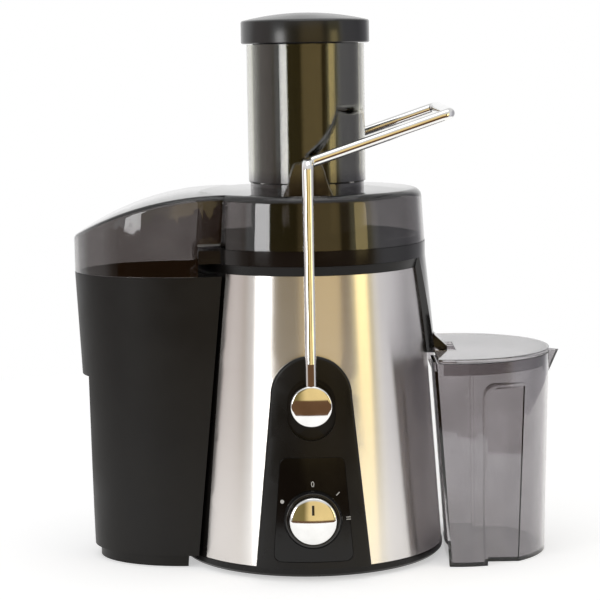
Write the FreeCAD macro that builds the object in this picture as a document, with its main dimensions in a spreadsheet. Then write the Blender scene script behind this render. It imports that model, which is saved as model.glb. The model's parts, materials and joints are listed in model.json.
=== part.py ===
"""Centrifugal juicer: a parametric FreeCAD document.

Millimetres, Z up, X to the jug side, -Y to the front. The origin lies on the table under the motor axis.
"""
import FreeCAD, Part
import math
import os
import Sketcher

V = FreeCAD.Vector
X_AXIS = V(1, 0, 0)
Z_AXIS = V(0, 0, 1)

# Driving dimensions, kept in the sheet under these aliases.
SIZES = [
    # body cone and base
    ("foot_height", 2.0),
    ("base_top", 8.0),
    ("base_radius", 91.5),
    ("plate_thick", 2.5),
    ("skin_top", 203.0),
    ("skin_top_radius", 78.5),
    ("skin_thick", 0.8),
    ("shell_wall", 2.5),
    ("collar_height", 6.0),
    ("collar_flare", 1.6),
    ("deck_gap", 10.0),
    ("deck_thick", 3.0),
    ("deck_hole", 10.0),
    ("skin_left_edge", 55.0),
    ("foot_circle", 70.0),
    ("foot_radius", 9.0),
    ("screw_circle", 74.0),
    # clearances
    ("seam", 0.3),
    ("seat", 0.05),
    ("running_fit", 0.05),
    # front and rear panels, dial
    ("panel_proud", 3.5),
    ("panel_half_base", 39.5),
    ("panel_arch_radius", 27.3),
    ("arch_rise", 5.0),
    ("recess_radius", 16.0),
    ("recess_depth", 3.2),
    ("dial_half_top", 21.5),
    ("dial_half_base", 27.0),
    ("dial_low", 13.0),
    ("dial_drop", 35.0),
    ("dial_corner", 5.0),
    ("dial_sink", 0.9),
    ("knob_height", 41.7),
    ("knob_radius", 19.5),
    ("knob_skirt", 6.0),
    ("knob_cap_radius", 15.7),
    ("knob_cap_height", 9.0),
    ("knob_stem", 3.0),
    # locking arm
    ("pivot_drop", 28.0),
    ("latch_travel", 8.0),
    ("disc_radius", 13.8),
    ("disc_thick", 10.0),
    ("pin_radius", 4.0),
    ("rod_radius", 3.75),
    ("rod_gap", 0.6),
    ("elbow_rise", 21.4),
    ("elbow_run", 11.4),
    ("bar_reach", 94.5),
    ("bar_rise", 31.5),
    ("bend_radius", 5.2),
    ("carriage_half", 9.0),
    ("carriage_rise", 12.0),
    ("carriage_depth", 9.0),
    ("carriage_front", 78.6),
    ("rib_thick", 3.0),
    # bowl and spout
    ("rim_radius", 81.3),
    ("rim_height", 10.0),
    ("rim_upstand", 5.0),
    ("bowl_radius", 73.5),
    ("bowl_wall", 2.2),
    ("bowl_floor", 156.0),
    ("hub_radius", 18.5),
    ("hub_wall", 2.2),
    ("hub_height", 10.0),
    ("spout_half_top", 30.0),
    ("spout_half_low", 14.0),
    ("spout_drop", 15.0),
    ("spout_reach", 95.5),
    ("column_radius", 88.0),
    # lid and pusher
    ("lid_radius", 81.0),
    ("lid_top_radius", 78.8),
    ("lid_height", 36.0),
    ("lid_round", 6.0),
    ("lid_wall", 2.4),
    ("hood_sweep", 193.0),
    ("hood_bend", 60.0),
    ("hood_step", 74.5),
    ("chute_radius", 40.6),
    ("chute_wall", 3.1),
    ("chute_height", 100.0),
    ("feed_gap", 10.0),
    ("neck_height", 6.0),
    ("neck_inset", 1.1),
    ("window_half", 24.0),
    ("lug_half_base", 17.5),
    ("lug_half_top", 8.5),
    ("pusher_radius", 36.6),
    ("pusher_wall", 2.2),
    ("pusher_clear", 4.0),
    ("cap_radius", 44.3),
    ("cap_rim", 15.4),
    ("cap_dome", 5.6),
    # pulp bin
    ("bin_centre", 88.0),
    ("bin_long", 75.0),
    ("bin_short", 60.0),
    ("bin_low_long", 68.0),
    ("bin_low_short", 51.0),
    ("bin_gap", 2.0),
    ("bin_wall", 2.2),
    ("plinth_height", 8.0),
    ("plinth_inset", 4.0),
    ("bin_grip_drop", 71.5),
    ("bin_grip_depth", 8.0),
    ("bin_grip_half", 27.0),
    # jug
    ("jug_centre", 102.0),
    ("jug_radius", 65.5),
    ("jug_low_radius", 62.0),
    ("jug_clear", 1.0),
    ("jug_wall", 2.2),
    ("jug_gap", 0.6),
    ("grip_left", 119.0),
    ("grip_depth_half", 48.0),
    ("grip_drop", 18.0),
    ("grip_corner", 7.0),
    ("notch_half", 20.0),
    ("notch_right", 101.0),
    ("notch_depth", 9.0),
    ("beak_reach", 7.0),
    ("jug_lid_thick", 3.0),
    ("jug_lid_skirt", 8.0),
    # filter basket and drive
    ("basket_lift", 10.0),
    ("basket_low_radius", 46.5),
    ("basket_clear", 2.3),
    ("basket_top_radius", 62.0),
    ("basket_wall", 1.2),
    ("coupling_radius", 13.0),
    ("coupling_rise", 8.0),
    ("shaft_radius", 4.0),
    ("shaft_low", 13.0),
    # motor
    ("stack_low", 58.0),
    ("stack_height", 38.0),
    ("stator_radius", 40.0),
    ("armature_radius", 21.0),
    ("air_gap", 0.6),
    ("bracket_radius", 42.0),
    ("bracket_thick", 4.0),
    ("upper_bracket", 112.0),
    ("lower_bracket", 26.0),
    ("mount_circle", 33.0),
    ("fan_radius", 34.0),
]

doc = FreeCAD.newDocument("centrifugal_juicer")
sheet = doc.addObject("Spreadsheet::Sheet", "sizes")
for row, (alias, number) in enumerate(SIZES, start=1):
    sheet.set(f"A{row}", alias.replace("_", " "))
    sheet.set(f"B{row}", str(number))
    sheet.setAlias(f"B{row}", alias)
doc.recompute()


class Dim:
    """A length with its expression text for the document and its value for choosing edges."""

    def __init__(self, text, value):
        self.text = text
        self.value = value

    def __add__(self, other):
        other = dim(other)
        return Dim(f"({self.text} + {other.text})", self.value + other.value)

    def __sub__(self, other):
        other = dim(other)
        return Dim(f"({self.text} - {other.text})", self.value - other.value)

    def __mul__(self, other):
        other = dim(other)
        return Dim(f"({self.text} * {other.text})", self.value * other.value)

    def __truediv__(self, other):
        other = dim(other)
        return Dim(f"({self.text} / {other.text})", self.value / other.value)

    def __neg__(self):
        return Dim(f"(0 - {self.text})", -self.value)

    def __radd__(self, other):
        return dim(other) + self

    def __rsub__(self, other):
        return dim(other) - self

    def __rmul__(self, other):
        return dim(other) * self


def dim(value):
    return value if isinstance(value, Dim) else Dim(f"({value})", float(value))


class Sheet:
    def __getattr__(self, alias):
        return Dim(f"sizes.{alias}", float(sheet.get(alias)))


s = Sheet()
slope = (s.base_radius - s.skin_top_radius) / (s.skin_top - s.base_top)


def cone(height, offset=0):
    """Radius of the body's outer cone at a height, grown by an offset."""
    return s.base_radius - (dim(height) - s.base_top) * slope + offset


def bind(obj, prop, value):
    obj.setExpression(prop, dim(value).text)


def move(obj, x=0, y=0, z=0):
    for axis, value in zip("xyz", (x, y, z)):
        bind(obj, f"Placement.Base.{axis}", value)
    return obj


def turn(obj, axis, angle):
    obj.Placement = FreeCAD.Placement(obj.Placement.Base, FreeCAD.Rotation(axis, angle))
    return obj


def shape(kind, **sizes):
    obj = doc.addObject(f"Part::{kind}", kind.lower())
    for prop, value in sizes.items():
        bind(obj, prop, value)
    return obj


def box(x0, x1, y0, y1, z0, z1):
    obj = shape("Box", Length=dim(x1) - x0, Width=dim(y1) - y0, Height=dim(z1) - z0)
    return move(obj, x0, y0, z0)


def cylinder(radius, z0, z1, x=0, y=0):
    return move(shape("Cylinder", Radius=radius, Height=dim(z1) - z0), x, y, z0)


def cylinder_y(radius, y0, y1, x=0, z=0):
    """A cylinder along Y from y0 to y1."""
    obj = turn(shape("Cylinder", Radius=radius, Height=dim(y1) - y0), X_AXIS, -90)
    return move(obj, x, y0, z)


def ring(outer, inner, z0, z1, x=0, y=0):
    return cut(cylinder(outer, z0, z1, x, y), cylinder(inner, dim(z0) - 1, dim(z1) + 1, x, y))


def frustum(z0, z1, offset):
    obj = shape("Cone", Radius1=cone(z0, offset), Radius2=cone(z1, offset), Height=dim(z1) - z0)
    return move(obj, 0, 0, z0)


def cut(base, *tools):
    obj = doc.addObject("Part::Cut", "cut")
    obj.Base = base
    obj.Tool = tools[0] if len(tools) == 1 else fuse(*tools)
    return obj


def fuse(*parts):
    obj = doc.addObject("Part::MultiFuse", "fuse")
    obj.Shapes = list(parts)
    return obj


def common(first, second):
    obj = doc.addObject("Part::Common", "common")
    obj.Base = first
    obj.Tool = second
    return obj


def group(parts):
    obj = doc.addObject("Part::Compound", "group")
    obj.Links = list(parts)
    return obj


def plane(body, role):
    return [f for f in body.Origin.OriginFeatures if f.Role == role][0]


def sketch(body, role, points):
    """A closed outline of straight lines whose corners are bound to the sheet."""
    obj = body.newObject("Sketcher::SketchObject", "outline")
    obj.AttachmentSupport = [(plane(body, role), "")]
    obj.MapMode = "FlatFace"
    corners = [V(dim(u).value, dim(v).value, 0) for u, v in points]
    count = len(corners)
    for i in range(count):
        obj.addGeometry(Part.LineSegment(corners[i], corners[(i + 1) % count]))
    for i in range(count):
        obj.addConstraint(Sketcher.Constraint("Coincident", i, 2, (i + 1) % count, 1))
    for i, (u, v) in enumerate(points):
        for kind, value in (("DistanceX", u), ("DistanceY", v)):
            index = obj.addConstraint(Sketcher.Constraint(kind, -1, 1, i, 1, dim(value).value))
            obj.setExpression(f"Constraints[{index}]", dim(value).text)
    return obj


def turned(points):
    """A body turned about its own Z axis from an outline in radius and height."""
    body = doc.addObject("PartDesign::Body", "turned")
    outline = sketch(body, "XZ_Plane", points)
    solid = body.newObject("PartDesign::Revolution", "revolution")
    solid.Profile = outline
    solid.ReferenceAxis = (outline, ["V_Axis"])
    solid.Angle = 360
    body.Tip = solid
    return body


def padded(role, points, length, middle=True, back=False):
    body = doc.addObject("PartDesign::Body", "padded")
    outline = sketch(body, role, points)
    solid = body.newObject("PartDesign::Pad", "pad")
    solid.Profile = outline
    bind(solid, "Length", length)
    solid.Midplane = middle
    solid.Reversed = back
    body.Tip = solid
    return body


def pocket_ring(body, points, count):
    """Pockets through a turned body, repeated about its axis."""
    outline = sketch(body, "XY_Plane", points)
    hole = body.newObject("PartDesign::Pocket", "pocket")
    hole.Profile = outline
    hole.Type = 1
    hole.Midplane = True
    pattern = body.newObject("PartDesign::PolarPattern", "pattern")
    pattern.Originals = [hole]
    pattern.Axis = (plane(body, "Z_Axis"), [""])
    pattern.Angle = 360
    pattern.Occurrences = count
    body.Tip = pattern
    return body


def rounded(obj, radius, chosen):
    """Fillet the edges that a test picks."""
    doc.recompute()
    edges = [i for i, e in enumerate(obj.Shape.Edges, start=1) if chosen(e)]
    result = doc.addObject("Part::Fillet", "rounded")
    result.Base = obj
    result.Edges = [(i, dim(radius).value, dim(radius).value) for i in edges]
    return result


def along(edge, axis):
    ends = [v.Point for v in edge.Vertexes]
    if len(ends) != 2:
        return False
    direction = (ends[1] - ends[0])
    return direction.Length > 0.01 and direction.cross(axis).Length < 1e-4 * direction.Length


nodes = []


def node(label, obj):
    obj.Label = label
    nodes.append(obj)
    return obj


def obround_y(radius, low, high, y0, y1):
    return fuse(
        cylinder_y(radius, y0, y1, 0, low),
        cylinder_y(radius, y0, y1, 0, high),
        box(-radius, radius, y0, y1, low, high),
    )


def around(obj, angle):
    """A copy of a piece carried round the motor axis."""
    return turn(group([obj]), Z_AXIS, angle)


def half_turn(obj):
    """A copy of a piece carried half round, from front to rear or back."""
    return around(obj, 180)


def spots(circle, count=4, start=45):
    for i in range(count):
        angle = math.radians(start + 360 * i / count)
        yield circle * round(math.cos(angle), 9), circle * round(math.sin(angle), 9)


# Heights that follow from the stacked sizes
collar_top = s.skin_top + s.collar_height
rim_low = collar_top + s.seam
rim_top = rim_low + s.rim_height
lid_low = rim_top + s.seam
lid_top = lid_low + s.lid_height
chute_top = lid_top + s.chute_height
cap_low = chute_top + s.seam
bin_top = s.skin_top - 2
hood_low = bin_top + s.seam
bin_grip_top = bin_top - s.bin_grip_drop
hub_top = s.bowl_floor + s.hub_height
coupling_top = hub_top + s.coupling_rise
basket_low = hub_top + s.basket_lift
basket_top = rim_top - s.basket_clear
chute_reach = basket_low + s.feed_gap
deck_top = s.bowl_floor - s.deck_gap
pivot_height = deck_top - s.pivot_drop
panel_arch_centre = pivot_height + s.arch_rise
dial_high = pivot_height - s.dial_drop
elbow_height = lid_top + s.elbow_rise
bar_height = elbow_height + s.bar_rise
elbow_out = cone(elbow_height, s.panel_proud + s.rod_radius + s.rod_gap)
arm_inner = elbow_out - s.elbow_run
spout_low = s.bowl_floor - s.spout_drop
jug_height = spout_low - s.jug_clear
notch_floor = jug_height - s.notch_depth
grip_top = jug_height - s.grip_drop
floor_low = s.foot_height
floor_top = s.foot_height + s.plate_thick
shell = -(s.skin_thick)
inside = -(s.skin_thick + s.shell_wall)


# Base plate with vents, feet and screws
tray = turned([
    (0, floor_low),
    (s.base_radius - 2, floor_low),
    (s.base_radius, floor_low + 2),
    (s.base_radius, s.base_top),
    (s.base_radius - 3, s.base_top),
    (s.base_radius - 3, floor_top),
    (0, floor_top),
])
pocket_ring(tray, [(20, -2.5), (52, -2.5), (52, 2.5), (20, 2.5)], 12)
foot_stem = s.foot_radius * 0.45
foot_holes = [cylinder(foot_stem + s.running_fit, 0, 20, x, y) for x, y in spots(s.foot_circle)]
screw_holes = [cylinder(2.1, 0, 20, x, y) for x, y in spots(s.screw_circle, 4, 0)]
node("base_plate", cut(tray, *foot_holes, *screw_holes))

feet = []
for x, y in spots(s.foot_circle):
    foot = turned([
        (0, 0.8),
        (s.foot_radius - 4, 0.8),
        (s.foot_radius - 3, 0),
        (s.foot_radius, 0),
        (s.foot_radius + 0.6, 0.5),
        (s.foot_radius - 1, floor_low - 0.05),
        (foot_stem, floor_low - 0.05),
        (foot_stem, floor_top + 0.05),
        (foot_stem + 1, floor_top + 0.05),
        (foot_stem, floor_top + 2),
        (0, floor_top + 2),
    ])
    feet.append(move(foot, x, y, 0))
node("rubber_feet", group(feet))

screws = []
for x, y in spots(s.screw_circle, 4, 0):
    screw = turned([
        (0, floor_low - 1.6),
        (2.6, floor_low - 1.6),
        (3.4, floor_low - 0.8),
        (3.4, floor_low),
        (1.9, floor_low),
        (1.9, s.base_top + 8),
        (0, s.base_top + 9),
    ])
    screws.append(move(screw, x, y, 0))
node("base_screws", group(screws))


# Arch outline of a panel, on the front side
def arch(grow):
    legs = padded("XZ_Plane", [
        (-s.panel_half_base - grow, 0),
        (s.panel_half_base + grow, 0),
        (s.panel_arch_radius + grow, panel_arch_centre),
        (-s.panel_arch_radius - grow, panel_arch_centre),
    ], 130, False)
    return fuse(legs, cylinder_y(s.panel_arch_radius + grow, -130, 0, 0, panel_arch_centre))


# Outline of the spout column, and of any strip below it, on the jug side
def spout_gap(grow, low=0):
    return padded("YZ_Plane", [
        (-s.spout_half_low - grow, low),
        (s.spout_half_low + grow, low),
        (s.spout_half_low + grow, spout_low),
        (s.spout_half_top + grow, rim_low),
        (s.spout_half_top + grow, rim_low + 5),
        (-s.spout_half_top - grow, rim_low + 5),
        (-s.spout_half_top - grow, rim_low),
        (-s.spout_half_low - grow, spout_low),
    ], 130, False)


slot_low = pivot_height - s.latch_travel
pin_slot = obround_y(s.pin_radius + 1, slot_low, pivot_height, -100, 100)

# Housing: conical shell, deck, collar, latch guides, motor posts and screw bosses
deck_low = deck_top - s.deck_thick
shell_body = turned([
    (cone(s.base_top, shell), s.base_top + s.seat),
    (cone(s.skin_top, shell), s.skin_top),
    (s.skin_top_radius, s.skin_top),
    (s.skin_top_radius + s.collar_flare, collar_top),
    (s.bowl_radius + 1, collar_top),
    (s.bowl_radius + 1, s.skin_top - 4),
    (cone(s.skin_top - 8, inside), s.skin_top - 8),
    (cone(deck_top, inside), deck_top),
    (s.deck_hole, deck_top),
    (s.deck_hole, deck_low),
    (cone(deck_low, inside), deck_low),
    (cone(s.base_top, inside), s.base_top + s.seat),
])
ribs = []
rib_in = s.carriage_half + s.seam
rib_out = rib_in + s.rib_thick
guide_low = slot_low - s.carriage_rise - 22
guide_high = pivot_height + s.carriage_rise + 3
guide_back = s.carriage_front - s.carriage_depth - 1
for side in (1, -1):
    rib = box(rib_in, rib_out, guide_back, s.base_radius, guide_low, guide_high)
    other = box(-rib_out, -rib_in, guide_back, s.base_radius, guide_low, guide_high)
    stop = box(-rib_in, rib_in, guide_back, s.base_radius, guide_low, guide_low + 3)
    frame = fuse(rib, other, stop)
    ribs.append(frame if side == 1 else half_turn(frame))
guides = common(fuse(*ribs), frustum(guide_low - 1, guide_high + 1, shell - 0.6))
post_low = s.upper_bracket + s.bracket_thick + 8
posts = [cylinder(5, post_low, deck_top - 1, x, y) for x, y in spots(s.mount_circle)]
post_holes = [cylinder(1.9, post_low - 1, deck_low - 2, x, y) for x, y in spots(s.mount_circle)]
boss_low = floor_top + s.seat
boss_top = s.base_top + 16
bosses = [cylinder(5, boss_low, boss_top, x, y) for x, y in spots(s.screw_circle, 4, 0)]
web = box(s.screw_circle + 3, s.base_radius + 5, -2, 2, s.base_top + 1, boss_top)
web = common(web, frustum(s.base_top, boss_top + 1, shell - 0.6))
bosses += [around(web, 90 * quarter) for quarter in range(4)]
boss_holes = [cylinder(2.0, 0, s.base_top + 12, x, y) for x, y in spots(s.screw_circle, 4, 0)]

knob_tilt = math.degrees(math.atan(slope.value))
knob_turn = FreeCAD.Rotation(X_AXIS, 90 - knob_tilt)


def on_dial(obj, out):
    """Stand a piece turned about Z on the panel at the knob's centre, moved out along its normal."""
    lean = slope.value / math.hypot(1, slope.value)
    flat = 1 / math.hypot(1, slope.value)
    obj.Placement = FreeCAD.Placement(V(0, 0, 0), knob_turn)
    move(obj, 0, -cone(s.knob_height) - dim(out) * flat, s.knob_height + dim(out) * lean)
    return obj


knob_bore = on_dial(shape("Cylinder", Radius=s.knob_stem + 0.4, Height=40), -20)
gland_bore = cylinder_y(6.2, 70, 110, 0, 24)
housing = cut(
    fuse(shell_body, guides, *posts, *bosses),
    spout_gap(s.seam, spout_low - 2),
    pin_slot,
    knob_bore,
    gland_bore,
    *post_holes,
    *boss_holes,
)
node("body_housing", housing)

# Steel skins, front and rear
skin = cut(
    frustum(s.base_top + s.seam, s.skin_top - s.seam, 0),
    frustum(s.base_top, s.skin_top, shell + s.seat),
)
left_gap = box(-150, 0, -s.skin_left_edge, s.skin_left_edge, 0, 250)
front_skin = cut(skin, left_gap, spout_gap(s.seam + 0.3), arch(-1), box(-150, 150, 0, 150, 0, 250))
node("front_steel_skin", front_skin)
rear_arch = half_turn(arch(-1))
rear_skin = cut(skin, left_gap, spout_gap(s.seam + 0.3), rear_arch, box(-150, 150, -150, 0, 0, 250))
node("rear_steel_skin", rear_skin)

# Panels: the arch wrapped on the cone, with the pivot recess
panel_top = panel_arch_centre + s.panel_arch_radius + 4
panel_low = s.base_top + s.seam


def panel_blank():
    blank = common(frustum(panel_low, panel_top, s.panel_proud), arch(0))
    hollow = cut(blank, frustum(s.base_top - 1, panel_top + 1, shell + s.seat + 0.05))
    step = cut(frustum(panel_low - 1, panel_top, s.seat), frustum(panel_low - 2, panel_top + 1, -5))
    rim = cut(common(step, box(-150, 150, -150, 0, 0, 250)), arch(-1.3))
    return cut(hollow, rim)


def outer_edge(edge):
    box_ = edge.BoundBox
    middle = edge.valueAt((edge.FirstParameter + edge.LastParameter) / 2)
    reach = math.hypot(middle.x, middle.y)
    proud = cone(middle.z, s.panel_proud).value
    return abs(reach - proud) < 0.05 and box_.ZMax > panel_low.value + 1


def recess_cut(extra):
    depth = s.recess_depth + extra
    return obround_y(
        s.recess_radius, slot_low, pivot_height + 1.5, -130, -cone(pivot_height, s.panel_proud) + depth
    )


front_blank = rounded(panel_blank(), 2.4, outer_edge)
rear_blank = rounded(panel_blank(), 2.4, outer_edge)


def dial_outline(shrink):
    plate = padded("XZ_Plane", [
        (-s.dial_half_base + shrink, s.dial_low + shrink),
        (s.dial_half_base - shrink, s.dial_low + shrink),
        (s.dial_half_top - shrink, dial_high - shrink),
        (-s.dial_half_top + shrink, dial_high - shrink),
    ], 130, False)
    return rounded(plate, s.dial_corner, lambda e: along(e, V(0, 1, 0)))


dial_low_cut = s.dial_low - 5
dial_high_cut = dial_high + 5
sunk = frustum(dial_low_cut, dial_high_cut, s.panel_proud - s.dial_sink)
front_panel = cut(front_blank, recess_cut(0), pin_slot, cut(dial_outline(0), sunk), knob_bore)
node("front_panel", front_panel)
rear_gland = half_turn(gland_bore)
rear_piece = cut(rear_blank, recess_cut(0), pin_slot, rear_gland)
node("rear_panel", half_turn(rear_piece))

dial_shell = cut(
    frustum(dial_low_cut, dial_high_cut, s.panel_proud - 0.1),
    frustum(dial_low_cut - 1, dial_high_cut + 1, s.panel_proud - s.dial_sink + s.seat),
)
node("dial_plate", cut(common(dial_outline(0.2), dial_shell), knob_bore))

# Knob on its stem, and the switch behind it
dial_face = s.panel_proud + 0.4
skirt = turned([
    (0, 0),
    (s.knob_radius, 0),
    (s.knob_radius, s.knob_skirt * 0.45),
    (s.knob_radius - 1.6, s.knob_skirt),
    (s.knob_cap_radius + 0.6, s.knob_skirt),
    (s.knob_cap_radius + 0.6, s.knob_skirt - 2),
    (0, s.knob_skirt - 2),
])
node("knob_skirt", on_dial(skirt, dial_face))
cap_base = s.knob_skirt - 2 + s.seat
cap = turned([
    (0, cap_base),
    (s.knob_cap_radius, cap_base),
    (s.knob_cap_radius, s.knob_cap_height + 1),
    (s.knob_cap_radius - 0.7, s.knob_cap_height + 2.2),
    (s.knob_cap_radius - 2.2, s.knob_cap_height + 3),
    (0, s.knob_cap_height + 3),
])
pointer_half = 1.6
pointer_length = 6.5
pointer_inner = s.knob_cap_radius - pointer_length
notch = box(
    -pointer_half, pointer_half, pointer_inner, s.knob_cap_radius + 2, s.knob_cap_height + 2.2, s.knob_cap_height + 5
)
node("knob_cap", on_dial(cut(cap, notch), dial_face))
stem_back = s.skin_thick + s.shell_wall + 18
stem = turned([
    (0, -stem_back),
    (s.knob_stem, -stem_back),
    (s.knob_stem, dial_face - s.seat),
    (0, dial_face - s.seat),
])
node("knob_stem", on_dial(stem, 0))
switch_front = -(s.skin_thick + s.shell_wall + 1.5)
switch_box = box(-14, 14, -14, 14, switch_front - 15, switch_front)
switch_neck = cylinder(6, switch_front - 1, -(s.skin_thick + s.shell_wall + 0.4))
switch_bore = cylinder(s.knob_stem + s.running_fit, switch_front - 25, 5)
node("rotary_switch", on_dial(cut(fuse(switch_box, switch_neck), switch_bore), 0))

# Gland for the cord, through the rear panel
gland_face = cone(24, s.panel_proud)
gland = turned([
    (3.6, 0),
    (6.1, 0),
    (6.1, 11),
    (8.6, 11),
    (7.6, 14),
    (3.6, 14),
])
turn(gland, X_AXIS, -90)
node("cord_gland", move(gland, 0, gland_face - 10.2, 24))

# Latch carriages, springs and arm
face_y = cone(pivot_height, s.panel_proud + s.rod_radius + s.rod_gap)
carriage_back = s.carriage_front - s.carriage_depth
rear_carriage = cut(
    box(
        -s.carriage_half,
        s.carriage_half,
        carriage_back,
        s.carriage_front,
        pivot_height - s.carriage_rise,
        pivot_height + s.carriage_rise,
    ),
    cylinder_y(s.pin_radius + s.running_fit, 50, 100, 0, pivot_height),
)
node("rear_latch_carriage", rear_carriage)
node("front_latch_carriage", half_turn(rear_carriage))


def spring():
    low = guide_low + 3 + s.seam
    high = pivot_height - s.carriage_rise - s.seam
    wire = 0.6
    mean = 3.2
    height = (high - low).value - 2 * wire
    helix = Part.makeHelix(height / 9, height, mean)
    section = Part.Wire([Part.makeCircle(wire, V(mean, 0, 0), V(0, 1, 0))])
    coil = Part.Wire(helix).makePipeShell([section], True, True)
    coil.translate(V(0, (s.carriage_front - s.carriage_depth / 2).value, low.value + wire))
    return coil


rear_spring = doc.addObject("Part::Feature", "spring")
rear_spring.Shape = spring()
node("rear_latch_spring", rear_spring)
node("front_latch_spring", half_turn(rear_spring))

rod_socket = cylinder(s.rod_radius + s.seat, pivot_height + 5, pivot_height + 30, 0, face_y)
pin_end = carriage_back - 4
rear_disc = cut(
    fuse(
        cylinder_y(s.disc_radius, face_y - s.disc_thick / 2, face_y + s.disc_thick / 2, 0, pivot_height),
        cylinder_y(s.pin_radius, pin_end, face_y, 0, pivot_height),
    ),
    rod_socket,
)
rear_disc = rounded(
    rear_disc, 1.0, lambda e: e.BoundBox.YMin > (face_y + s.disc_thick / 2).value - 0.01 and e.Length > 60
)
node("rear_pivot_disc", rear_disc)
node("front_pivot_disc", half_turn(rear_disc))
clip = cut(
    cylinder_y(7, carriage_back - 1.5, carriage_back - s.seam, 0, pivot_height),
    cylinder_y(s.pin_radius + s.seat, 0, 100, 0, pivot_height),
)
node("pivot_clips", group([clip, half_turn(clip)]))


def bent_path(points, radius):
    """Straight runs joined by arcs of one bend radius."""
    edges = []
    start = points[0]
    for before, corner, after in zip(points, points[1:], points[2:]):
        back = (before - corner).normalize()
        ahead = (after - corner).normalize()
        half = back.getAngle(ahead) / 2
        reach = radius / math.tan(half)
        first = corner + back * reach
        last = corner + ahead * reach
        centre = corner + (back + ahead).normalize() * (radius / math.sin(half))
        middle = centre + (corner - centre).normalize() * radius
        edges.append(Part.LineSegment(start, first).toShape())
        edges.append(Part.Arc(first, middle, last).toShape())
        start = last
    edges.append(Part.LineSegment(start, points[-1]).toShape())
    return Part.Wire(edges)


leg_foot = pivot_height + 6
top_y = cone(elbow_height, s.panel_proud + s.rod_radius + s.rod_gap).value
foot_y = face_y.value
half_arm = [
    V(0, -foot_y, leg_foot.value),
    V(0, -foot_y, leg_foot.value + 22),
    V(0, -top_y, elbow_height.value),
    V(0, -arm_inner.value, elbow_height.value),
    V(s.bar_reach.value, -arm_inner.value, bar_height.value),
]
other_half = [V(p.x, -p.y, p.z) for p in reversed(half_arm)]
spine = doc.addObject("Part::Feature", "arm_spine")
spine.Shape = bent_path(half_arm + other_half, s.bend_radius.value)
ring_face = shape("Circle", Radius=s.rod_radius)
move(ring_face, 0, -face_y, leg_foot)
arm = doc.addObject("Part::Sweep", "arm")
arm.Sections = [ring_face]
arm.Spine = (spine, [f"Edge{i + 1}" for i in range(len(spine.Shape.Edges))])
arm.Solid = True
arm.Frenet = False
node("locking_arm", arm)

# Interlock switch beside the rear guide
node("interlock_switch", common(
    box(rib_out + 0.05, rib_out + 7, guide_back, s.carriage_front - 2, pivot_height - 14, pivot_height + 8),
    frustum(pivot_height - 40, pivot_height + 40, inside - 0.3),
))

# Juice bowl with hub, lip, spout column and nose
bowl_inner = s.bowl_radius - s.bowl_wall
floor_up = s.bowl_floor + s.bowl_wall
upstand = s.lid_radius - s.lid_wall - 0.6
bowl_turned = turned([
    (0, s.bowl_floor),
    (s.bowl_radius, s.bowl_floor),
    (s.bowl_radius, rim_low),
    (s.rim_radius, rim_low),
    (s.rim_radius, rim_top),
    (upstand, rim_top),
    (upstand, rim_top + s.rim_upstand),
    (0, rim_top + s.rim_upstand),
])
bowl_space = turned([
    (s.hub_radius, floor_up),
    (bowl_inner, floor_up),
    (bowl_inner, rim_top - 2),
    (upstand - 2, rim_top + s.rim_upstand),
    (upstand - 2, rim_top + s.rim_upstand + 5),
    (0, rim_top + s.rim_upstand + 5),
    (0, hub_top),
    (s.hub_radius, hub_top),
])
hub_bore = cylinder(s.hub_radius - s.hub_wall, s.bowl_floor - 1, hub_top + 1)


def oval(long, short, height, centre):
    """An upright oval outline at a height."""
    return move(shape("Ellipse", MajorRadius=long, MinorRadius=short), -centre, 0, height)


def oval_prism(low, high):
    obj = doc.addObject("Part::Loft", "loft")
    obj.Sections = [oval(*low), oval(*high)]
    obj.Solid = True
    obj.Ruled = True
    return obj


lip_prism = oval_prism(
    (s.bin_long, s.bin_short, rim_low - 5, s.bin_centre),
    (s.bin_long, s.bin_short, rim_top + 5, s.bin_centre),
)
lip = common(lip_prism, box(-s.hood_step + s.seam, -20, -100, 100, rim_low + 0.5, rim_top - 0.5))
column_cone = shape("Cone", Radius1=s.column_radius, Radius2=s.rim_radius, Height=rim_low - spout_low)
move(column_cone, 0, 0, spout_low)
column_hollow = shape(
    "Cone", Radius1=s.column_radius - 9, Radius2=s.rim_radius - 7.5, Height=rim_low - spout_low + 2
)
move(column_hollow, 0, 0, spout_low - 1)
column_plate = common(cut(column_cone, column_hollow), spout_gap(0, spout_low - 2))
nose = padded("XZ_Plane", [
    (s.bowl_radius - 1, s.bowl_floor),
    (s.column_radius - 2, spout_low + 4),
    (s.spout_reach - 3, spout_low - 1),
    (s.spout_reach, spout_low + 1),
    (s.spout_reach, spout_low + 4),
    (s.column_radius - 1, spout_low + 12),
    (s.bowl_radius - 1, s.bowl_floor + 22),
], s.spout_half_low * 2 - 4)
channel = padded("XZ_Plane", [
    (s.bowl_radius - 8, floor_up),
    (s.bowl_radius, floor_up),
    (s.column_radius - 1, spout_low + 6.5),
    (s.spout_reach - 4.2, spout_low - 3),
    (s.spout_reach - 1.6, spout_low - 3),
    (s.spout_reach - 1.6, spout_low + 3),
    (s.column_radius - 2, spout_low + 10),
    (s.bowl_radius - 1, s.bowl_floor + 19),
    (s.bowl_radius - 8, s.bowl_floor + 19),
], s.spout_half_low * 2 - 9)
node("juice_bowl", cut(fuse(bowl_turned, lip, column_plate, nose), channel, bowl_space, hub_bore))

# Lid: round part, hood over the bin, feed tube and arm lugs
wall = s.lid_wall
round_outer = turned([
    (0, lid_low),
    (s.lid_radius, lid_low),
    (s.lid_top_radius, lid_top),
    (0, lid_top),
])
round_outer = rounded(round_outer, s.lid_round, lambda e: e.BoundBox.ZMin > lid_top.value - 0.01)
round_inner = turned([
    (0, lid_low - 1),
    (s.lid_radius - wall, lid_low - 1),
    (s.lid_radius - wall, lid_low),
    (s.lid_top_radius - wall, lid_top - wall),
    (0, lid_top - wall),
])


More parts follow.
